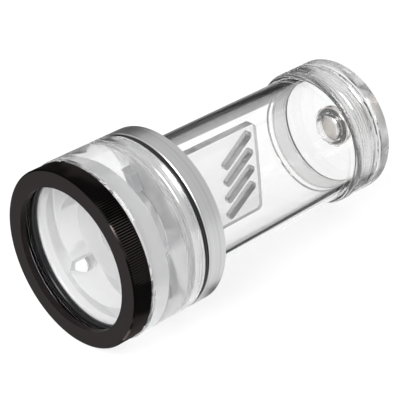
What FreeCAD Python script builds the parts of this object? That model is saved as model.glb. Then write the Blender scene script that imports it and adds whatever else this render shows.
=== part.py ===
"""Clear tube reservoir for a liquid-cooling pump, laid on its side.

The axis of the tube is X. The open pump end faces -X, the lidded end +X, and Z is up.
The origin is the centre of the locking ring's front face, where the pump goes in.
All sizes are in millimetres, and every x is measured from that face.
"""
import FreeCAD
import Part
import math
import os
from FreeCAD import Vector

# clearances
thread_gap = 0.08
seal_gap = 0.05
sliding_gap = 0.2
edge_break = 0.4

# the circulation pump that the part takes, and the seal under its flange
pump_bore_r = 32.25
pump_bore_depth = 3.8
pump_seal_cord = 3.5
seal_shoulder_width = 3.85
shoulder_chamfer = 0.7

# threads
fine_pitch = 1.5
fine_depth = 0.45
lid_thread_depth = 0.6
port_pitch = 1.337
port_thread_depth = 0.55
groove_half_angle_deg = 32.0

# locking ring
ring_length = 9.6
ring_lip_length = 2.9
ring_lip_overhang = 0.45
ring_wall = 1.52
ring_chamfer = 0.6
ring_to_boss = 0.3
ring_to_body = 0.4
serration_count = 228
serration_depth = 0.42

# pump top, front to back
boss_wall = 1.8
recess_depth = 7.3
volute_depth = 9.9
web_thickness = 10.0
rear_recess_depth = 4.0
body_wall = 4.0
body_step = 0.5
body_chamfer = 0.6
volute_rim = 3.55
volute_growth = 6.4
volute_start_deg = -37.5
volute_sweep_deg = 352.5
volute_points = 40
suction_r = 9.5
ramp_inner_rim = 1.0

# outlet port through the wall of the pump top
port_angle_deg = -45.0
port_offset = 3.2
port_thread_r = 6.6
port_flat_depth = 2.4
port_flat_r = 9.8
port_flat_margin = 3.4
tongue_wall = 2.1

# tube and its bonded rings
tube_outer_r = 30.0
tube_wall = 4.0
tube_length = 118.6
tube_thread_length = 10.3
tube_thread_wall = 1.9
foot_wall = 3.5
foot_length = 10.6
end_ring_wall = 2.07
end_ring_length = 12.0

# clamping collar and the seal in front of it
collar_length = 9.5
collar_spigot_wall = 2.22
collar_throat_gap = 0.3
collar_seal_cord = 2.0
collar_seal_inset = 0.3

# seal under the foot of the tube
foot_seal_cord = 2.0
foot_lift = 0.7

# baffle plate
plate_half_width = 21.25
plate_thickness = 4.0
plate_length = 71.5
plate_corner = 1.6
plate_foot_width = 8.0
plate_foot_from_notch = 1.6
plate_foot_depth = 4.0
plate_notch_margin = 0.9
plate_notch_depth = 4.0
foot_slot_gap = 0.1
slot_count = 4
slot_pitch = 8.2
slot_width = 3.6
slot_straight = 17.0
slot_slant_deg = 32.0
slots_from_end = 12.3

# lid
cap_length = 7.9
cap_seam = 0.5
cap_spigot_wall = 2.02
cap_face_inset = 1.0
cap_seal_cord = 2.6
cap_seal_offset = 0.43

# filling plug
plug_shank_length = 4.25
plug_head_length = 3.55
plug_head_r = 9.5
plug_head_sunk = 1.3
plug_head_gap = 0.25
plug_hex_across = 8.0
plug_hex_depth = 2.4
plug_seal_cord = 1.78
plug_seal_offset = 0.45
plug_groove_gap = 0.17

# worked out: radii at the pump end
ring_opening_r = pump_bore_r - ring_lip_overhang
boss_recess_r = pump_bore_r + seal_shoulder_width
boss_thread_r = boss_recess_r + boss_wall
ring_bore_r = boss_thread_r + thread_gap
ring_outer_r = ring_bore_r + ring_wall
volute_large_r = pump_bore_r - volute_rim
volute_small_r = volute_large_r - volute_growth

# worked out: radii from the tube outwards
tube_inner_r = tube_outer_r - tube_wall
tube_thread_r = tube_outer_r - tube_thread_wall
end_ring_r = tube_outer_r + end_ring_wall
foot_r = tube_outer_r + foot_wall
collar_throat_r = tube_outer_r + collar_throat_gap
collar_pocket_r = foot_r + sliding_gap
collar_spigot_r = collar_pocket_r + collar_spigot_wall
rear_recess_r = collar_spigot_r + thread_gap

# worked out: the pump top is as wide as the wider of its two ends needs
body_r = max(ring_outer_r + body_step, rear_recess_r + body_wall)

# worked out: places along the axis, from the pump end
boss_front_x = ring_lip_length + ring_to_boss
body_front_x = ring_length + ring_to_body
seal_shoulder_x = boss_front_x + recess_depth
pump_bore_floor_x = seal_shoulder_x + pump_bore_depth
volute_floor_x = pump_bore_floor_x + volute_depth
recess_floor_x = volute_floor_x + web_thickness
port_x = body_front_x + port_flat_margin + port_flat_r
body_rear_x = recess_floor_x + rear_recess_depth
collar_front_x = body_rear_x + collar_seal_cord + sliding_gap
collar_rear_x = collar_front_x + collar_length
collar_spigot_front_x = recess_floor_x + sliding_gap
tube_front_x = recess_floor_x + foot_lift
foot_rear_x = tube_front_x + foot_length
collar_pocket_rear_x = foot_rear_x + sliding_gap
tube_rear_x = tube_front_x + tube_length
tube_thread_front_x = tube_rear_x - tube_thread_length
end_ring_front_x = tube_rear_x - end_ring_length

# worked out: lid and plug
cap_front_x = tube_rear_x + cap_seam
cap_rear_x = cap_front_x + cap_length
cap_inner_face_x = cap_front_x - cap_face_inset
cap_spigot_front_x = tube_thread_front_x + edge_break
cap_spigot_r = tube_thread_r - thread_gap
cap_spigot_bore_r = cap_spigot_r - cap_spigot_wall
plug_seat_x = cap_rear_x - plug_head_sunk
plug_seat_r = plug_head_r + edge_break
plug_head_front_x = plug_seat_x + plug_head_gap
plug_head_rear_x = plug_head_front_x + plug_head_length
plug_front_x = plug_head_front_x - plug_shank_length
plug_shank_r = port_thread_r - thread_gap

# worked out: baffle plate
plate_front_x = recess_floor_x + sliding_gap
plate_rear_x = plate_front_x + plate_length
plate_notch_half = suction_r + plate_notch_margin
plate_foot_inner_z = plate_notch_half + plate_foot_from_notch
plate_foot_outer_z = plate_foot_inner_z + plate_foot_width
plate_foot_front_x = plate_front_x - plate_foot_depth
foot_slot_floor_x = plate_foot_front_x - sliding_gap

# worked out: seals, each as the radius of its centre line and its x
pump_seal_r = boss_recess_r - 2 * seal_gap - pump_seal_cord / 2
pump_seal_x = seal_shoulder_x - pump_seal_cord / 2
collar_seal_r = body_r - collar_seal_inset - collar_seal_cord / 2
collar_neck_r = collar_seal_r - collar_seal_cord / 2 - 2 * seal_gap
collar_seal_x = (body_rear_x + collar_front_x) / 2
foot_seal_r = tube_outer_r + foot_wall / 2
foot_seal_x = tube_front_x - seal_gap - foot_seal_cord / 2
cap_seal_r = cap_spigot_r + cap_seal_offset + cap_seal_cord / 2
cap_seal_x = tube_rear_x + seal_gap + cap_seal_cord / 2
cap_groove_floor_x = cap_seal_x + cap_seal_cord / 2 + seal_gap
cap_groove_outer_r = cap_seal_r + cap_seal_cord / 2 + sliding_gap
plug_seal_r = plug_shank_r + plug_seal_offset + plug_seal_cord / 2
plug_seal_x = plug_seat_x + seal_gap + plug_seal_cord / 2
plug_groove_floor_x = plug_seal_x + plug_seal_cord / 2 + seal_gap
plug_groove_inner_r = plug_seal_r - plug_seal_cord / 2 - plug_groove_gap
plug_groove_outer_r = plug_seal_r + plug_seal_cord / 2 + plug_groove_gap

ORIGIN = Vector(0, 0, 0)
AXIS = Vector(1, 0, 0)
SIDEWAYS = Vector(0, 1, 0)
# how far a cutting tool runs past the face that it cuts
past = 1.0


def turned(profile):
    """A solid of revolution about the X axis from a closed list of (x, radius) points."""
    points = [Vector(x, 0, r) for x, r in profile]
    points.append(points[0])
    return Part.Face(Part.makePolygon(points)).revolve(ORIGIN, AXIS, 360)


def rod(radius, x0, x1):
    return Part.makeCylinder(radius, x1 - x0, Vector(x0, 0, 0), AXIS)


def seal(centre_r, x, cord):
    return Part.makeTorus(centre_r, cord / 2, Vector(x, 0, 0), AXIS)


def box(x0, x1, y0, y1, z0, z1):
    return Part.makeBox(x1 - x0, y1 - y0, z1 - z0, Vector(x0, y0, z0))


def prism(points, direction):
    return Part.Face(Part.makePolygon(points + points[:1])).extrude(direction)


def thread_profile(x0, x1, crest_r, depth, pitch):
    """The outline of a screwed length from x0 to x1, one V groove to each turn."""
    points = [(x0, crest_r - depth), (x0 + depth, crest_r)]
    half_groove = depth * math.tan(math.radians(groove_half_angle_deg))
    x = x0 + depth + pitch / 3
    while x + 3 * half_groove < x1:
        points.append((x, crest_r))
        points.append((x + half_groove, crest_r - depth))
        points.append((x + 2 * half_groove, crest_r))
        x += pitch
    points.append((x1, crest_r))
    return points


def polar(radius, degrees):
    """A point of the Y-Z plane, with the angle from +Y towards +Z."""
    a = math.radians(degrees)
    return radius * math.cos(a), radius * math.sin(a)


def make_lock_ring():
    points = []
    for i in range(2 * serration_count):
        r = ring_outer_r - (i % 2) * serration_depth
        y, z = polar(r, 180.0 * i / serration_count)
        points.append(Vector(0, y, z))
    serrated = prism(points, AXIS * ring_length)
    shape = turned([
        (0, ring_opening_r),
        (0, ring_outer_r - ring_chamfer),
        (ring_chamfer, ring_outer_r),
        (ring_length - ring_chamfer, ring_outer_r),
        (ring_length, ring_outer_r - ring_chamfer),
        (ring_length, ring_bore_r),
        (ring_lip_length, ring_bore_r),
        (ring_lip_length, ring_opening_r),
    ])
    return serrated.common(shape)


def spiral_pocket(depth):
    """The pocket that the impeller turns in, wider towards the outlet."""
    points = []
    for i in range(volute_points + 1):
        part = i / volute_points
        r = volute_small_r + volute_growth * part
        y, z = polar(r, volute_start_deg + volute_sweep_deg * part)
        points.append(Vector(pump_bore_floor_x - past, y, z))
    curve = Part.BSplineCurve()
    curve.interpolate(points)
    closing = Part.makeLine(points[-1], points[0])
    face = Part.Face(Part.Wire([curve.toShape(), closing]))
    return face.extrude(AXIS * (depth + past))


def make_ramp():
    """The slope in the spiral pocket's floor that leads down to the outlet."""
    end_y, _ = polar(volute_large_r, port_angle_deg)
    _, tongue_z = polar(volute_small_r, volute_start_deg)
    deep_x = port_x + port_thread_r
    outline = [
        (pump_bore_floor_x, 0), (volute_floor_x, 0), (deep_x, end_y),
        (deep_x, body_r), (pump_bore_floor_x, body_r),
    ]
    points = [Vector(x, y, tongue_z) for x, y in outline]
    sloped = prism(points, Vector(0, 0, -body_r))
    pocket = spiral_pocket(deep_x - pump_bore_floor_x)
    middle = rod(volute_small_r - ramp_inner_rim, 0, body_rear_x)
    return pocket.common(sloped).cut(middle)


def outlet_tools():
    """The cutters of the outlet, square to the axis, from behind the tongue outwards."""
    y, z = polar(1.0, port_angle_deg)
    out = Vector(0, y, z)
    centre = Vector(port_x, 0, 0) + Vector(0, -z, y) * port_offset
    flat = body_r - port_flat_depth
    spans = [
        (port_thread_r, volute_small_r + tongue_wall, flat + past),
        (port_flat_r, flat, body_r + past),
    ]
    return [Part.makeCylinder(r, b - a, centre + out * a, out) for r, a, b in spans]


def foot_spans():
    """The two stretches of Z that the feet of the baffle plate take up."""
    return [
        (-plate_foot_outer_z, -plate_foot_inner_z),
        (plate_foot_inner_z, plate_foot_outer_z),
    ]


def make_pump_top():
    shape = turned(
        [(boss_front_x, boss_recess_r)]
        + thread_profile(boss_front_x, body_front_x, boss_thread_r, fine_depth, fine_pitch)
        + [
            (body_front_x, body_r - body_chamfer),
            (body_front_x + body_chamfer, body_r),
            (body_rear_x - edge_break, body_r),
            (body_rear_x, body_r - edge_break),
            (body_rear_x, rear_recess_r),
            (recess_floor_x, rear_recess_r),
            (recess_floor_x, suction_r),
            (pump_bore_floor_x, suction_r),
            (pump_bore_floor_x, pump_bore_r),
            (seal_shoulder_x + shoulder_chamfer, pump_bore_r),
            (seal_shoulder_x, pump_bore_r + shoulder_chamfer),
            (seal_shoulder_x, boss_recess_r),
        ]
    )
    shape = shape.cut(spiral_pocket(volute_depth))
    shape = shape.cut(make_ramp())
    for tool in outlet_tools():
        shape = shape.cut(tool)
    half_cord = foot_seal_cord / 2
    groove = rod(foot_seal_r + half_cord, foot_seal_x - half_cord, recess_floor_x + past)
    core = rod(foot_seal_r - half_cord, foot_seal_x - foot_seal_cord, recess_floor_x + 2 * past)
    shape = shape.cut(groove.cut(core))
    half = plate_thickness / 2 + foot_slot_gap
    for z0, z1 in foot_spans():
        slot = box(
            foot_slot_floor_x, recess_floor_x + past,
            -half, half, z0 - foot_slot_gap, z1 + foot_slot_gap,
        )
        shape = shape.cut(slot)
    return shape


def make_collar():
    spigot_rear_x = body_rear_x + seal_gap
    return turned(
        [(collar_spigot_front_x, collar_pocket_r)]
        + thread_profile(
            collar_spigot_front_x, spigot_rear_x, collar_spigot_r, fine_depth, fine_pitch
        )
        + [
            (spigot_rear_x, collar_neck_r),
            (collar_front_x, collar_neck_r),
            (collar_front_x, body_r - edge_break),
            (collar_front_x + edge_break, body_r),
            (collar_rear_x - edge_break, body_r),
            (collar_rear_x, body_r - edge_break),
            (collar_rear_x, collar_throat_r),
            (collar_pocket_rear_x, collar_throat_r),
            (collar_pocket_rear_x, collar_pocket_r),
        ]
    )


def make_tube():
    return turned([
        (tube_front_x, tube_inner_r),
        (tube_front_x, tube_outer_r),
        (tube_rear_x, tube_outer_r),
        (tube_rear_x, tube_thread_r + edge_break),
        (tube_rear_x - edge_break, tube_thread_r),
        (tube_thread_front_x, tube_thread_r),
        (tube_thread_front_x - edge_break, tube_inner_r),
    ])


def make_base_ring():
    return turned([
        (tube_front_x, tube_outer_r),
        (tube_front_x, foot_r - edge_break),
        (tube_front_x + edge_break, foot_r),
        (foot_rear_x, foot_r),
        (foot_rear_x, tube_outer_r),
    ])


def make_end_ring():
    """The ring bonded round the tube's threaded end, with a quarter-round shoulder."""
    shoulder_rear_x = end_ring_front_x + end_ring_wall
    start = Vector(end_ring_front_x, 0, tube_outer_r)
    back, up = polar(end_ring_wall, 135)
    middle = Vector(shoulder_rear_x + back, 0, tube_outer_r + up)
    end = Vector(shoulder_rear_x, 0, end_ring_r)
    rear_outer = Vector(tube_rear_x - edge_break, 0, end_ring_r)
    rear_edge = Vector(tube_rear_x, 0, end_ring_r - edge_break)
    rear_inner = Vector(tube_rear_x, 0, tube_outer_r)
    shoulder = Part.Arc(start, middle, end).toShape()
    rest = Part.makePolygon([end, rear_outer, rear_edge, rear_inner, start])
    face = Part.Face(Part.Wire([shoulder] + rest.Edges))
    return face.revolve(ORIGIN, AXIS, 360)


def slot_cutter(centre, half_depth):
    """A slanted slot with round ends, cut through the baffle plate from side to side."""
    slant = math.radians(slot_slant_deg)
    along = Vector(math.cos(slant), 0, math.sin(slant)) * (slot_straight / 2)
    across = Vector(-math.sin(slant), 0, math.cos(slant)) * (slot_width / 2)
    a = centre - along - SIDEWAYS * half_depth
    b = centre + along - SIDEWAYS * half_depth
    corners = [a - across, b - across, b + across, a + across]
    straight = prism(corners, SIDEWAYS * (2 * half_depth))
    ends = [Part.makeCylinder(slot_width / 2, 2 * half_depth, tip, SIDEWAYS) for tip in (a, b)]
    return straight.fuse(ends)


def make_baffle():
    half = plate_thickness / 2
    w = plate_half_width
    c = plate_corner
    outline = [
        (plate_front_x, -w + c), (plate_front_x + c, -w),
        (plate_rear_x - c, -w), (plate_rear_x, -w + c),
        (plate_rear_x, w - c), (plate_rear_x - c, w),
        (plate_front_x + c, w), (plate_front_x, w - c),
    ]
    plate = prism([Vector(x, -half, z) for x, z in outline], SIDEWAYS * plate_thickness)
    for z0, z1 in foot_spans():
        plate = plate.fuse(box(plate_foot_front_x, plate_front_x + past, -half, half, z0, z1))
    notch = box(
        plate_front_x - past, plate_front_x + plate_notch_depth,
        -half - past, half + past, -plate_notch_half, plate_notch_half,
    )
    plate = plate.cut(notch)
    for i in range(slot_count):
        middle_z = (i - (slot_count - 1) / 2) * slot_pitch
        centre = Vector(plate_rear_x - slots_from_end, 0, middle_z)
        plate = plate.cut(slot_cutter(centre, half + past))
    return plate.removeSplitter()


def make_cap():
    thread_rear_x = cap_inner_face_x + edge_break
    return turned(
        [(cap_spigot_front_x, cap_spigot_bore_r)]
        + thread_profile(
            cap_spigot_front_x, thread_rear_x, cap_spigot_r, lid_thread_depth, fine_pitch
        )
        + [
            (cap_groove_floor_x, cap_spigot_r),
            (cap_groove_floor_x, cap_groove_outer_r),
            (cap_front_x, cap_groove_outer_r),
            (cap_front_x, end_ring_r - edge_break),
            (cap_front_x + edge_break, end_ring_r),
            (cap_rear_x - edge_break, end_ring_r),
            (cap_rear_x, end_ring_r - edge_break),
            (cap_rear_x, plug_seat_r),
            (plug_seat_x, plug_seat_r),
            (plug_seat_x, port_thread_r + edge_break),
            (plug_seat_x - edge_break, port_thread_r),
            (cap_inner_face_x, port_thread_r),
            (cap_inner_face_x, cap_spigot_bore_r),
        ]
    )


def make_plug():
    shape = turned(
        [(plug_front_x, 0)]
        + thread_profile(
            plug_front_x, plug_head_front_x, plug_shank_r, port_thread_depth, port_pitch
        )
        + [
            (plug_head_front_x, plug_groove_inner_r),
            (plug_groove_floor_x, plug_groove_inner_r),
            (plug_groove_floor_x, plug_groove_outer_r),
            (plug_head_front_x, plug_groove_outer_r),
            (plug_head_front_x, plug_head_r),
            (plug_head_rear_x - edge_break, plug_head_r),
            (plug_head_rear_x, plug_head_r - edge_break),
            (plug_head_rear_x, 0),
        ]
    )
    corner_r = plug_hex_across / 2 / math.cos(math.radians(30))
    socket_x = plug_head_rear_x - plug_hex_depth
    corners = [Vector(socket_x, *polar(corner_r, 60 * i)) for i in range(6)]
    return shape.cut(prism(corners, AXIS * (plug_hex_depth + past)))


PARTS = {
    "lock_ring": make_lock_ring,
    "pump_seal_oring": lambda: seal(pump_seal_r, pump_seal_x, pump_seal_cord),
    "pump_top": make_pump_top,
    "collar_seal_oring": lambda: seal(collar_seal_r, collar_seal_x, collar_seal_cord),
    "tube_collar": make_collar,
    "tube_base_ring": make_base_ring,
    "tube_base_oring": lambda: seal(foot_seal_r, foot_seal_x, foot_seal_cord),
    "reservoir_tube": make_tube,
    "baffle_plate": make_baffle,
    "tube_end_ring": make_end_ring,
    "cap_oring": lambda: seal(cap_seal_r, cap_seal_x, cap_seal_cord),
    "top_cap": make_cap,
    "fill_plug": make_plug,
    "fill_plug_oring": lambda: seal(plug_seal_r, plug_seal_x, plug_seal_cord),
}

os.makedirs("parts", exist_ok=True)
for name, make in PARTS.items():
    shape = make()
    shape.exportStep("parts/" + name + ".step")
    print(name, len(shape.Solids), "solid", shape.isValid(), round(shape.Volume / 1000, 2), "cm3")
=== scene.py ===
"""Looks of a clear coolant pump reservoir: finishes, a floor, studio light and a camera.

The tube lies along X with the open pump end towards -X. Lengths in the panel are in metres.
"""

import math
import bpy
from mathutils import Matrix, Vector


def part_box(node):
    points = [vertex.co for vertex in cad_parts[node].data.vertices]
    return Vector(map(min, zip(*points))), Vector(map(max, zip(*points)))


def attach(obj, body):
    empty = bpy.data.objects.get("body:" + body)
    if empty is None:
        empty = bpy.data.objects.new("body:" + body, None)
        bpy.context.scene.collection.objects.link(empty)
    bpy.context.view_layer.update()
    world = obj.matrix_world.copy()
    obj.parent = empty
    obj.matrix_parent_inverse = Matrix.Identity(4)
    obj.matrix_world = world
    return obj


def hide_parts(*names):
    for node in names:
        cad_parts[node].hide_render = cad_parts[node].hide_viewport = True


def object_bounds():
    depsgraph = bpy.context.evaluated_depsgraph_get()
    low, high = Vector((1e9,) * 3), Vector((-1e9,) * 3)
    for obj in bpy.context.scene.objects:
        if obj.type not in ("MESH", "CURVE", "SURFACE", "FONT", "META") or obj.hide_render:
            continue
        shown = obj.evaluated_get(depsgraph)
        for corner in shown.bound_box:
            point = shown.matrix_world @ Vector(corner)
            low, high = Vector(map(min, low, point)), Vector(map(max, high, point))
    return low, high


bl_info = {
    "name": "Clear Coolant Reservoir",
    "version": (1, 0, 0),
    "blender": (4, 5, 0),
    "location": "3D View > Sidebar > Reservoir",
    "description": "Finishes, floor, studio light and camera for a clear coolant pump reservoir",
    "category": "Object",
}

import bmesh
import bpy
from bpy.props import FloatProperty, FloatVectorProperty, IntProperty, PointerProperty
from bpy.types import Operator, Panel, PropertyGroup
from mathutils import Matrix, Vector

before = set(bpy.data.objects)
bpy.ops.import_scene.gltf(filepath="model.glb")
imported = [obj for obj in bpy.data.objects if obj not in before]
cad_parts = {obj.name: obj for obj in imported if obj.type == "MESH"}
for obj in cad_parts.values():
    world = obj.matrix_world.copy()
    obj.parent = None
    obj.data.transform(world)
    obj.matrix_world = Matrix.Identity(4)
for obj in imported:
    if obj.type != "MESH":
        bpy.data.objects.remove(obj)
cad_low, cad_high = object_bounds()

MM = 0.001

SEAL_NODES = ("pump_seal_oring", "collar_seal_oring", "cap_oring", "fill_plug_oring")

ACRYLIC_INDEX = 1.49
POLISHED_ROUGHNESS = 0.012
MILLED_ROUGHNESS = 0.5

# Each pair below says where a mask begins to change and where it has changed.

# The serrated rim of the locking ring: how far below the rim its grooves (painted shade) and
# its worn crests lie, and how far behind the front face the wear of its front corner reaches.
GROOVE_DEPTH = (0.9 * MM, 0.5 * MM)
CREST_DEPTH = (0.12 * MM, 0.03 * MM)
CORNER_WEAR = (0.5 * MM, 1.0 * MM)

# The milled pockets of the pump top: their radius, their front, and the floor of the recess for
# the tube, behind which they are less milky.
POCKET_RADIUS = (36.5 * MM, 36.9 * MM)
POCKET_FRONT = (8.6 * MM, 9.0 * MM)
RECESS_FLOOR = (33.8 * MM, 34.1 * MM)

# The tube's ends: chamfers, and the wall that the lid's thread leaves.
CHAMFER = 0.4 * MM
THREADED_WALL = 1.9 * MM

# The lid: the turned part of its rim, behind the polished front edge, and its thread.
RIM_DEPTH = (0.5 * MM, 0.1 * MM)
POLISHED_EDGE = (2.4 * MM, 3.4 * MM)
SPIGOT_RADIUS = (25.9 * MM, 26.1 * MM)
THREAD_RUNOUT = 0.3 * MM

# The sawn edges of the baffle plate: how far inside its faces they end.
FACE_DEPTH = (0.12 * MM, 0.04 * MM)

# The floor's zones that only mirrored and refracted rays see, along Y: grey, then black, and a
# black strip in front of the tube, a painted shadow under the tube, which starts along X where
# the last pair says.
GREY_ZONE = (0.155, 0.165)
BLACK_ZONE = (0.36, 0.6)
SHADOW_STRIP_FRONT = (-0.0345, -0.0335)
SHADOW_STRIP_BACK = (-0.0185, -0.0175)
SHADOW_STRIP_START = (0.05, 0.06)
FLOOR_BRIGHTNESS = 1.2


def opaque(colour, factor=1.0):
    """The colour, made lighter or darker by the factor, with full alpha."""
    return tuple(min(1.0, c * factor) for c in colour) + (1.0,)


def radii(node):
    """The smallest and largest distance of a node's points from the tube's axis."""
    found = [math.hypot(v.co.y, v.co.z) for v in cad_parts[node].data.vertices]
    return min(found), max(found)


class Number:
    """A number in a material. Arithmetic on it adds Math nodes."""

    def __init__(self, finish, socket):
        self.finish = finish
        self.socket = socket

    def math(self, operation, *others):
        sockets = {0: self}
        for place, other in enumerate(others, start=1):
            sockets[place] = other
        return self.finish.add("ShaderNodeMath", {"operation": operation}, sockets)

    def flipped(self, operation, other):
        return self.finish.add("ShaderNodeMath", {"operation": operation}, {0: other, 1: self})

    def __add__(self, other):
        return self.math("ADD", other)

    __radd__ = __add__

    def __sub__(self, other):
        return self.math("SUBTRACT", other)

    def __rsub__(self, other):
        return self.flipped("SUBTRACT", other)

    def __mul__(self, other):
        return self.math("MULTIPLY", other)

    __rmul__ = __mul__

    def __truediv__(self, other):
        return self.math("DIVIDE", other)

    def __gt__(self, other):
        return self.math("GREATER_THAN", other)

    def root(self):
        return self.math("SQRT")

    def step(self, low, high):
        """0 below low, 1 above high, and smooth between them."""
        sockets = {"Value": self, "From Min": low, "From Max": high}
        return self.finish.add("ShaderNodeMapRange", {"interpolation_type": "SMOOTHSTEP"}, sockets)


class Finish:
    """A node tree and the one way in which nodes are added to it."""

    def __init__(self, owner):
        owner.use_nodes = True
        self.tree = owner.node_tree
        self.tree.nodes.clear()

    def add(self, kind, settings=None, sockets=None, out=0):
        """Adds a node, sets its settings and then its sockets, and gives one of its outputs."""
        node = self.tree.nodes.new(kind)
        for name, value in (settings or {}).items():
            setattr(node, name, value)
        for name, value in (sockets or {}).items():
            if isinstance(value, Number):
                self.tree.links.new(value.socket, node.inputs[name])
            else:
                node.inputs[name].default_value = value
        if not node.outputs:
            return None
        return Number(self, node.outputs[out])

    def split(self, coordinates):
        node = self.add("ShaderNodeSeparateXYZ", sockets={0: coordinates}).socket.node
        return [Number(self, socket) for socket in node.outputs]

    def place(self):
        """X, Y and Z of the surface in the piece's own space."""
        return self.split(self.add("ShaderNodeTexCoord", out=3))

    def noise(self, x, y, z, scale, detail=2.0):
        vector = self.add("ShaderNodeCombineXYZ", sockets={0: x, 1: y, 2: z})
        sockets = {"Vector": vector, "Scale": scale, "Detail": detail}
        return self.add("ShaderNodeTexNoise", sockets=sockets)

    def mix(self, factor, first, second):
        """Between two colours."""
        sockets = {0: factor, 6: first, 7: second}
        return self.add("ShaderNodeMix", {"data_type": "RGBA"}, sockets, out=2)

    def bump(self, height, distance):
        sockets = {"Height": height, "Distance": distance, "Strength": 1.0}
        return self.add("ShaderNodeBump", sockets=sockets)

    def surface(self, **sockets):
        """The main shader, joined to the output. A socket is given by its name in small letters."""
        names = {}
        for name, value in sockets.items():
            names[name.replace("_", " ").title().replace("Ior", "IOR")] = value
        shader = self.add("ShaderNodeBsdfPrincipled", sockets=names)
        self.add("ShaderNodeOutputMaterial", sockets={"Surface": shader})


def from_axis(y, z):
    """The distance of the surface from the tube's axis."""
    return (y * y + z * z).root()


def new_material(name):
    material = bpy.data.materials.new(name)
    return material, Finish(material)


def paint(node, material):
    """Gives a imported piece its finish."""
    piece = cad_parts[node]
    for slot in piece.material_slots:
        slot.material = material
    if not piece.material_slots:
        piece.data.materials.append(material)


def rounded(profile, radius, steps):
    """The profile with each of its corners turned into an arc."""
    points = []
    count = len(profile)
    for i in range(count):
        before = Vector(profile[i - 1])
        here = Vector(profile[i])
        after = Vector(profile[(i + 1) % count])
        to_before = before - here
        to_after = after - here
        reach = min(radius, to_before.length / 2.5, to_after.length / 2.5)
        start = here + to_before.normalized() * reach
        end = here + to_after.normalized() * reach
        for step in range(steps + 1):
            t = step / steps
            a = start.lerp(here, t)
            b = here.lerp(end, t)
            points.append(a.lerp(b, t))
    return points


def lathe(name, profile, segments):
    """A closed turned piece about the X axis from (x, radius) points in metres."""
    bm = bmesh.new()
    rings = []
    for i in range(segments):
        angle = 2 * math.pi * i / segments
        cos, sin = math.cos(angle), math.sin(angle)
        rings.append([bm.verts.new((x, r * cos, r * sin)) for x, r in profile])
    count = len(profile)
    for i in range(segments):
        this, following = rings[i], rings[(i + 1) % segments]
        for j in range(count):
            k = (j + 1) % count
            bm.faces.new((this[j], this[k], following[k], following[j]))
    bmesh.ops.recalc_face_normals(bm, faces=bm.faces)
    mesh = bpy.data.meshes.new(name)
    bm.to_mesh(mesh)
    bm.free()
    mesh.polygons.foreach_set("use_smooth", [True] * len(mesh.polygons))
    mesh.set_sharp_from_angle(angle=math.radians(35))
    piece = bpy.data.objects.new(name, mesh)
    bpy.context.scene.collection.objects.link(piece)
    return piece


class ReservoirSizes(PropertyGroup):
    turned_segments: IntProperty(
        name="Turned segments", description="Sides of a turned piece", default=256, min=32
    )
    edge_radius: FloatProperty(
        name="Edge radius", description="Rounding of the tube's edges",
        default=0.25 * MM, unit="LENGTH",
    )
    shoulder_steps: IntProperty(
        name="Shoulder steps", description="Facets of the end ring's round shoulder",
        default=10, min=3,
    )
    camera_distance: FloatProperty(
        name="Camera distance", description="From the camera to the middle of the view",
        default=0.6636, unit="LENGTH",
    )
    camera_lens: FloatProperty(
        name="Lens", description="Focal length on a 36 mm sensor, in millimetres", default=139.04
    )
    camera_azimuth: FloatProperty(
        name="Azimuth", description="Turn of the camera round the part",
        default=math.radians(-42.087), subtype="ANGLE",
    )
    camera_elevation: FloatProperty(
        name="Elevation", description="Height of the camera above the horizon",
        default=math.radians(28.536), subtype="ANGLE",
    )
    camera_roll: FloatProperty(
        name="Roll", description="Turn of the camera about its own axis",
        default=math.radians(-3.843), subtype="ANGLE",
    )
    camera_target: FloatVectorProperty(
        name="Target", description="Middle of the view", default=(0.0697, -0.0039, 0.0),
        subtype="TRANSLATION",
    )
    light_level: FloatProperty(
        name="Light level", description="Brightness of the room round the part", default=0.8
    )
    lamp_power: FloatProperty(
        name="Soft box", description="Power of the soft box", default=7.0, unit="POWER"
    )
    floor_glow: FloatProperty(
        name="Floor glow", description="Share of the floor's white that no shadow reaches",
        default=0.72, min=0.0, max=1.0,
    )
    lamp_side: FloatProperty(
        name="Soft box side", description="Side of the square soft box",
        default=0.5, unit="LENGTH",
    )
    lamp_distance: FloatProperty(
        name="Soft box distance", description="From the soft box to the pump's well",
        default=0.9, unit="LENGTH",
    )
    lamp_azimuth: FloatProperty(
        name="Soft box azimuth", description="Turn of the soft box round the part",
        default=math.radians(-70.0), subtype="ANGLE",
    )
    lamp_tilt: FloatProperty(
        name="Soft box tilt", description="Lean of the soft box from straight overhead",
        default=math.radians(50.0), subtype="ANGLE",
    )
    floor_side: FloatProperty(
        name="Floor side", description="Side of the square floor", default=6.0, unit="LENGTH"
    )


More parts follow.
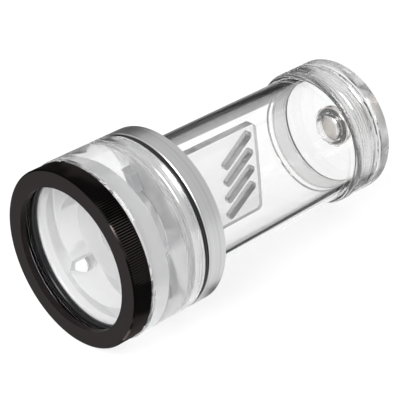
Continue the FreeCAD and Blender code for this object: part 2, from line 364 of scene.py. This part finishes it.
class ReservoirColours(PropertyGroup):
    anodised: FloatVectorProperty(
        name="Black anodised", description="Locking ring", subtype="COLOR",
        default=(0.015, 0.0118, 0.0122), min=0.0, max=1.0,
    )
    worn_edge: FloatVectorProperty(
        name="Worn edge", description="Bare crests of the locking ring's rim", subtype="COLOR",
        default=(0.09, 0.075, 0.07), min=0.0, max=1.0,
    )
    rubber: FloatVectorProperty(
        name="Black rubber", description="Cord seals", subtype="COLOR",
        default=(0.012, 0.012, 0.013), min=0.0, max=1.0,
    )
    silicone: FloatVectorProperty(
        name="Pale silicone", description="Seal under the tube's foot", subtype="COLOR",
        default=(0.75, 0.75, 0.74), min=0.0, max=1.0,
    )
    acrylic: FloatVectorProperty(
        name="Clear acrylic", description="Tube, lid, pump top and baffle plate", subtype="COLOR",
        default=(0.99, 0.99, 0.99), min=0.0, max=1.0,
    )
    milled: FloatVectorProperty(
        name="Milled acrylic", description="White of the milled faces", subtype="COLOR",
        default=(0.97, 0.97, 0.975), min=0.0, max=1.0,
    )
    aluminium: FloatVectorProperty(
        name="Satin aluminium", description="Clamping collar", subtype="COLOR",
        default=(0.64, 0.64, 0.645), min=0.0, max=1.0,
    )
    # Painted light: a lighter aluminium for the part of the collar inside the pump top.
    painted_light_aluminium: FloatVectorProperty(
        name="Painted light aluminium", description="Collar inside the pump top", subtype="COLOR",
        default=(0.86, 0.86, 0.86), min=0.0, max=1.0,
    )
    brass: FloatVectorProperty(
        name="Plated brass", description="Filling plug", subtype="COLOR",
        default=(0.72, 0.67, 0.63), min=0.0, max=1.0,
    )
    floor: FloatVectorProperty(
        name="Floor", description="The pale floor", subtype="COLOR",
        default=(0.93, 0.93, 0.93), min=0.0, max=1.0,
    )
    floor_grey: FloatVectorProperty(
        name="Grey zone", description="Floor's grey zone in reflections", subtype="COLOR",
        default=(0.2, 0.2, 0.2), min=0.0, max=1.0,
    )
    floor_black: FloatVectorProperty(
        name="Black zone", description="Floor's black zones in reflections", subtype="COLOR",
        default=(0.02, 0.02, 0.02), min=0.0, max=1.0,
    )


class RESERVOIR_OT_lock_ring(Operator):
    """Finish the locking ring in black anodising"""

    bl_idname = "reservoir.lock_ring"
    bl_label = "Locking ring"

    def execute(self, context):
        colours = context.scene.reservoir_colours
        material, finish = new_material("black_anodised")
        x, y, z = finish.place()
        r = from_axis(y, z)
        rim = radii("lock_ring")[1]
        grain = finish.noise(x, y, z, 900.0, 3.0)
        blotch = finish.noise(x, y, z, 70.0, 1.0)
        face = opaque(colours.anodised)
        # Painted shade: the grooves of the serrated rim take a far darker copy of the anodising.
        painted_groove_shade = opaque(colours.anodised, 0.03)
        bare = opaque(colours.worn_edge)
        serrated = r.step(*[rim - depth for depth in GROOVE_DEPTH])
        crest = r.step(*[rim - depth for depth in CREST_DEPTH])
        front = (1.0 - x.step(*CORNER_WEAR)) * blotch.step(0.55, 0.65)
        bright = 0.12 + 0.88 * blotch.step(0.45, 0.6)
        worn = (crest * bright).math("MAXIMUM", serrated * front)
        finish.surface(
            base_color=finish.mix(worn, finish.mix(serrated, face, painted_groove_shade), bare),
            metallic=0.9 * worn,
            roughness=0.32 + 0.1 * grain - 0.14 * serrated,
            specular_ior_level=0.03,
            normal=finish.bump(grain, 0.01 * MM),
        )
        paint("lock_ring", material)
        return {"FINISHED"}


class RESERVOIR_OT_seals(Operator):
    """Finish the cord seals in rubber and silicone"""

    bl_idname = "reservoir.seals"
    bl_label = "Cord seals"

    def execute(self, context):
        colours = context.scene.reservoir_colours
        material, finish = new_material("black_rubber")
        x, y, z = finish.place()
        grain = finish.noise(x, y, z, 1500.0)
        finish.surface(
            base_color=opaque(colours.rubber),
            roughness=0.16 + 0.08 * grain,
            specular_ior_level=0.25,
            normal=finish.bump(grain, 0.008 * MM),
        )
        for node in SEAL_NODES:
            paint(node, material)
        material, finish = new_material("pale_silicone")
        x, y, z = finish.place()
        grain = finish.noise(x, y, z, 800.0)
        finish.surface(
            base_color=opaque(colours.silicone),
            roughness=0.35 + 0.1 * grain,
            normal=finish.bump(grain, 0.01 * MM),
        )
        paint("tube_base_oring", material)
        return {"FINISHED"}


class RESERVOIR_OT_collar(Operator):
    """Finish the clamping collar in turned satin aluminium"""

    bl_idname = "reservoir.collar"
    bl_label = "Clamping collar"

    def execute(self, context):
        colours = context.scene.reservoir_colours
        material, finish = new_material("satin_aluminium")
        x, y, z = finish.place()
        r = from_axis(y, z)
        fine = finish.noise(x, r, 0.0, 2400.0, 3.0).step(0.35, 0.65)
        coarse = finish.noise(x, r, 0.0, 700.0).step(0.35, 0.65)
        lines = fine * 0.6 + coarse * 0.4
        dark = opaque(colours.aluminium, 0.7)
        light = opaque(colours.aluminium, 1.1)
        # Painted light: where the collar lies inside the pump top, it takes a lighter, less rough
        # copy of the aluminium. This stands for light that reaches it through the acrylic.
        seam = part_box("pump_top")[1].x
        hidden = 1.0 - x.step(seam - 0.1 * MM, seam)
        inside = opaque(colours.painted_light_aluminium)
        finish.surface(
            base_color=finish.mix(hidden, finish.mix(lines, dark, light), inside),
            metallic=1.0,
            roughness=0.28 + 0.14 * fine - 0.2 * hidden,
            normal=finish.bump(lines, 0.02 * MM),
        )
        paint("tube_collar", material)
        return {"FINISHED"}


def clear_acrylic(colours, name, machined, rough, milky, through=0.5, milled_shade_factor=1.0, acrylic_shade_factor=1.0):
    """Clear acrylic. machined(finish, x, y, z) gives a mask of its milled faces.

    Those faces are as dull as rough says and as white as milky says. Their white is made darker
    by the next-to-last argument, painted shade, and through is the share of it that is lit from
    behind. The last argument darkens the colour of the light that the acrylic lets through,
    painted shade as well.
    """
    material, finish = new_material(name)
    x, y, z = finish.place()
    mask = machined(finish, x, y, z)
    clear = finish.add("ShaderNodeBsdfPrincipled", sockets={
        # Painted shade: the last argument darkens the clear acrylic's colour.
        "Base Color": opaque(colours.acrylic, acrylic_shade_factor),
        "Transmission Weight": 1.0,
        "IOR": ACRYLIC_INDEX,
        "Roughness": POLISHED_ROUGHNESS + rough * mask,
    })
    # Painted shade: the milled white is made darker by the next-to-last argument.
    white = opaque(colours.milled, milled_shade_factor)
    face = finish.add("ShaderNodeBsdfPrincipled", sockets={
        "Base Color": white,
        "Roughness": MILLED_ROUGHNESS,
    })
    glow = finish.add("ShaderNodeBsdfTranslucent", sockets={"Color": white})
    milled = finish.add("ShaderNodeMixShader", sockets={0: through, 1: face, 2: glow})
    shader = finish.add("ShaderNodeMixShader", sockets={0: milky * mask, 1: clear, 2: milled})
    finish.add("ShaderNodeOutputMaterial", sockets={"Surface": shader})
    return material


class RESERVOIR_OT_pump_top(Operator):
    """Finish the pump top in acrylic, polished outside and milled in its pockets"""

    bl_idname = "reservoir.pump_top"
    bl_label = "Pump top"

    def execute(self, context):
        colours = context.scene.reservoir_colours

        def pockets(finish, x, y, z):
            inside = 1.0 - from_axis(y, z).step(*POCKET_RADIUS)
            return inside * (x.step(*POCKET_FRONT) * (1.0 - 0.7 * x.step(*RECESS_FLOOR)))

        material = clear_acrylic(
            colours, "acrylic_pump_top", pockets, rough=0.1, milky=0.75, through=0.5
        )
        paint("pump_top", material)
        return {"FINISHED"}


class RESERVOIR_OT_tube(Operator):
    """Build the tube with the two rings that are bonded to it"""

    bl_idname = "reservoir.tube"
    bl_label = "Bonded tube"

    def execute(self, context):
        sizes = context.scene.reservoir_sizes
        colours = context.scene.reservoir_colours
        tube_inner, tube_outer = radii("reservoir_tube")
        foot_outer = radii("tube_base_ring")[1]
        ring_outer = radii("tube_end_ring")[1]
        low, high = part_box("reservoir_tube")
        foot_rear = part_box("tube_base_ring")[1].x
        ring_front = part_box("tube_end_ring")[0].x
        thread_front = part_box("top_cap")[0].x - CHAMFER
        thread_r = tube_outer - THREADED_WALL
        wall = ring_outer - tube_outer
        outline = [(low.x, tube_inner), (low.x, foot_outer), (foot_rear, foot_outer)]
        outline += [(foot_rear, tube_outer), (ring_front, tube_outer)]
        corner_points = 5
        foot_corners = slice(corner_points, 4 * corner_points)
        profile = rounded(outline, sizes.edge_radius, corner_points - 1)[foot_corners]
        profile += [Vector((ring_front, tube_outer))]
        for step in range(1, sizes.shoulder_steps + 1):
            a = math.pi / 2 * step / sizes.shoulder_steps
            point = (ring_front + wall * (1 - math.cos(a)), tube_outer + wall * math.sin(a))
            profile.append(Vector(point))
        profile += [
            Vector((high.x - CHAMFER, ring_outer)),
            Vector((high.x, ring_outer - CHAMFER)),
            Vector((high.x, thread_r + CHAMFER)),
            Vector((high.x - CHAMFER, thread_r)),
            Vector((thread_front, thread_r)),
            Vector((thread_front - CHAMFER, tube_inner)),
            Vector((low.x, tube_inner)),
        ]
        piece = lathe("bonded_tube", profile, sizes.turned_segments)

        def counterbore(finish, x, y, z):
            bored = 1.0 - from_axis(y, z).step(thread_r, thread_r + 0.1 * MM)
            return bored * x.step(thread_front - 0.5 * MM, thread_front - CHAMFER)

        piece.data.materials.append(
            clear_acrylic(colours, "acrylic_tube", counterbore, rough=0.16, milky=0.12)
        )
        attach(piece, "reservoir")
        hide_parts("reservoir_tube", "tube_base_ring", "tube_end_ring")
        return {"FINISHED"}


class RESERVOIR_OT_lid(Operator):
    """Finish the lid and the baffle plate in clear acrylic"""

    bl_idname = "reservoir.lid"
    bl_label = "Lid and baffle plate"

    def execute(self, context):
        colours = context.scene.reservoir_colours
        rim = radii("top_cap")[1]
        thread_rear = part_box("tube_end_ring")[1].x

        def turned(finish, x, y, z):
            r = from_axis(y, z)
            outside = r.step(*[rim - depth for depth in RIM_DEPTH])
            outside = outside * x.step(*[thread_rear + reach for reach in POLISHED_EDGE])
            smudge = finish.noise(0.3 * x, y, z, 60.0, 1.0)
            outside = outside * (0.6 + 0.4 * smudge.step(0.4, 0.6))
            beyond = r.step(*SPIGOT_RADIUS)
            thread = beyond * (1.0 - x.step(thread_rear - THREAD_RUNOUT, thread_rear))
            return outside.math("MAXIMUM", 0.4 * thread)

        # The lid's turned rim gets a greyer milled white and its acrylic is darkened, both painted
        # shade.
        material = clear_acrylic(
            colours, "acrylic_lid", turned,
            rough=0.28, milky=0.3, through=0.3, milled_shade_factor=0.5, acrylic_shade_factor=0.94,
        )
        paint("top_cap", material)
        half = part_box("baffle_plate")[1].y

        def sawn(finish, x, y, z):
            return 1.0 - y.math("ABSOLUTE").step(*[half - depth for depth in FACE_DEPTH])

        # The plate's sawn edges get a grey milled white and the plate's acrylic is darkened, both
        # painted shade.
        material = clear_acrylic(
            colours, "acrylic_plate", sawn,
            rough=0.08, milky=0.45, through=0.3, milled_shade_factor=0.45, acrylic_shade_factor=0.86,
        )
        paint("baffle_plate", material)
        return {"FINISHED"}


class RESERVOIR_OT_plug(Operator):
    """Finish the filling plug in plated brass"""

    bl_idname = "reservoir.plug"
    bl_label = "Filling plug"

    def execute(self, context):
        colours = context.scene.reservoir_colours
        material, finish = new_material("plated_brass")
        x, y, z = finish.place()
        rings = finish.noise(x, from_axis(y, z), 0.0, 3000.0)
        finish.surface(
            base_color=opaque(colours.brass),
            metallic=1.0,
            roughness=0.3 + 0.1 * rings,
            normal=finish.bump(rings, 0.01 * MM),
        )
        paint("fill_plug", material)
        return {"FINISHED"}


def seen_rays(finish):
    """Masks of the camera's rays, of mirrored or refracted rays, and of those not scattered."""
    path = finish.add("ShaderNodeLightPath").socket.node
    camera = Number(finish, path.outputs["Is Camera Ray"])
    glossy = Number(finish, path.outputs["Is Glossy Ray"])
    through = Number(finish, path.outputs["Is Transmission Ray"])
    scattered = Number(finish, path.outputs["Diffuse Depth"]) > 0.5
    mirrored = (1.0 - camera) * glossy.math("MAXIMUM", through)
    return camera, mirrored, mirrored * (1.0 - scattered)


def behind(sizes):
    """The level direction that leads away behind the part, seen from the camera."""
    return Vector((-math.sin(sizes.camera_azimuth), math.cos(sizes.camera_azimuth), 0.0))


def make_floor(sizes, colours):
    bm = bmesh.new()
    bmesh.ops.create_grid(bm, x_segments=1, y_segments=1, size=sizes.floor_side / 2)
    mesh = bpy.data.meshes.new("floor")
    bm.to_mesh(mesh)
    bm.free()
    floor = bpy.data.objects.new("floor", mesh)
    floor.location = (0.0, 0.0, cad_low.z)
    bpy.context.scene.collection.objects.link(floor)
    material, finish = new_material("floor")
    camera, mirrored, sharp = seen_rays(finish)
    x, y, z = finish.place()
    # Painted shadow: a black strip in front of the tube that only mirrored and refracted rays see.
    painted_shadow_strip = y.step(*SHADOW_STRIP_FRONT) * (1.0 - y.step(*SHADOW_STRIP_BACK)) * x.step(*SHADOW_STRIP_START)
    black = y.step(*BLACK_ZONE).math("MAXIMUM", painted_shadow_strip)
    grey = y.step(*GREY_ZONE)
    shade = finish.mix(sharp * grey, opaque(colours.floor), opaque(colours.floor_grey))
    shade = finish.mix(sharp * black, shade, opaque(colours.floor_black))
    lit = finish.add("ShaderNodeBsdfDiffuse", sockets={"Color": shade})
    glow = finish.add("ShaderNodeEmission", sockets={
        "Color": shade,
        "Strength": FLOOR_BRIGHTNESS,
    })
    share = sizes.floor_glow * (camera + mirrored)
    total = finish.add("ShaderNodeMixShader", sockets={0: share, 1: lit, 2: glow})
    finish.add("ShaderNodeOutputMaterial", sockets={"Surface": total})
    mesh.materials.append(material)


def make_world(sizes):
    """White for the camera, a plain level of light, and darker walls for sharp reflections."""
    world = bpy.data.worlds.new("studio")
    bpy.context.scene.world = world
    finish = Finish(world)
    camera, mirrored, sharp = seen_rays(finish)
    x, y, z = finish.split(finish.add("ShaderNodeTexCoord", out=0))
    away = behind(sizes)
    not_zero = 0.0001
    level = (x * x + y * y).root() + not_zero
    back = (x * away.x + y * away.y) / level
    back_wall = back.step(0.3, 0.75) * (1.0 - z.step(0.3, 0.6))
    front_wall = (0.0 - back).step(0.2, 0.9) * (1.0 - z.step(0.5, 0.8))
    studio = 1.0 - 0.965 * back_wall - 0.2 * front_wall
    lit = sizes.light_level * (sharp * studio + (1.0 - sharp))
    background = finish.add("ShaderNodeBackground", sockets={
        "Color": opaque((1.0, 1.0, 1.0)),
        "Strength": camera + (1.0 - camera) * lit,
    })
    finish.add("ShaderNodeOutputWorld", sockets={"Surface": background})


def make_lamp(sizes):
    """A soft box in front of the pump's opening."""
    lamp = bpy.data.lights.new("soft_box", "AREA")
    lamp.shape = "SQUARE"
    lamp.size = sizes.lamp_side
    lamp.energy = sizes.lamp_power
    holder = bpy.data.objects.new("soft_box", lamp)
    turn = Matrix.Rotation(sizes.lamp_azimuth, 4, "Z")
    tilt = Matrix.Rotation(sizes.lamp_tilt, 4, "X")
    back = Matrix.Translation((0.0, 0.0, sizes.lamp_distance))
    well = Matrix.Translation((0.02, 0.0, 0.0))
    holder.matrix_world = well @ turn @ tilt @ back
    bpy.context.scene.collection.objects.link(holder)


def make_camera(sizes):
    camera = bpy.data.cameras.new("camera")
    camera.lens = sizes.camera_lens
    camera.sensor_width = 36.0
    camera.clip_start = 0.01
    holder = bpy.data.objects.new("camera", camera)
    turn = Matrix.Rotation(sizes.camera_azimuth, 4, "Z")
    tilt = Matrix.Rotation(math.pi / 2 - sizes.camera_elevation, 4, "X")
    roll = Matrix.Rotation(sizes.camera_roll, 4, "Z")
    back = Matrix.Translation((0.0, 0.0, sizes.camera_distance))
    target = Matrix.Translation(sizes.camera_target)
    holder.matrix_world = target @ turn @ tilt @ roll @ back
    bpy.context.scene.collection.objects.link(holder)
    bpy.context.scene.camera = holder


class RESERVOIR_OT_stage(Operator):
    """Make the floor, the studio light and the camera"""

    bl_idname = "reservoir.stage"
    bl_label = "Floor, light and camera"

    def execute(self, context):
        scene = context.scene
        sizes = scene.reservoir_sizes
        make_camera(sizes)
        make_floor(sizes, scene.reservoir_colours)
        make_world(sizes)
        make_lamp(sizes)
        scene.view_settings.view_transform = "Standard"
        scene.cycles.max_bounces = 32
        scene.cycles.transmission_bounces = 32
        scene.cycles.glossy_bounces = 16
        scene.cycles.diffuse_bounces = 16
        return {"FINISHED"}


operators = (
    RESERVOIR_OT_stage,
    RESERVOIR_OT_lock_ring,
    RESERVOIR_OT_seals,
    RESERVOIR_OT_collar,
    RESERVOIR_OT_pump_top,
    RESERVOIR_OT_tube,
    RESERVOIR_OT_lid,
    RESERVOIR_OT_plug,
)


class RESERVOIR_PT_panel(Panel):
    """Sizes, colours and steps of the clear reservoir"""

    bl_idname = "RESERVOIR_PT_panel"
    bl_label = "Clear Coolant Reservoir"
    bl_space_type = "VIEW_3D"
    bl_region_type = "UI"
    bl_category = "Reservoir"

    def draw(self, context):
        scene = context.scene
        for group in (scene.reservoir_sizes, scene.reservoir_colours):
            box = self.layout.box()
            for name in group.bl_rna.properties.keys():
                if name not in ("rna_type", "name"):
                    box.prop(group, name)
        for operator in operators:
            self.layout.operator(operator.bl_idname)


classes = (ReservoirSizes, ReservoirColours) + operators + (RESERVOIR_PT_panel,)


def register():
    for cls in classes:
        bpy.utils.register_class(cls)
    bpy.types.Scene.reservoir_sizes = PointerProperty(type=ReservoirSizes)
    bpy.types.Scene.reservoir_colours = PointerProperty(type=ReservoirColours)


def unregister():
    del bpy.types.Scene.reservoir_colours
    del bpy.types.Scene.reservoir_sizes
    for cls in reversed(classes):
        bpy.utils.unregister_class(cls)


def main():
    register()
    bpy.ops.reservoir.stage()
    bpy.ops.reservoir.lock_ring()
    bpy.ops.reservoir.seals()
    bpy.ops.reservoir.collar()
    bpy.ops.reservoir.pump_top()
    bpy.ops.reservoir.tube()
    bpy.ops.reservoir.lid()
    bpy.ops.reservoir.plug()


if __name__ == "__main__":
    main()
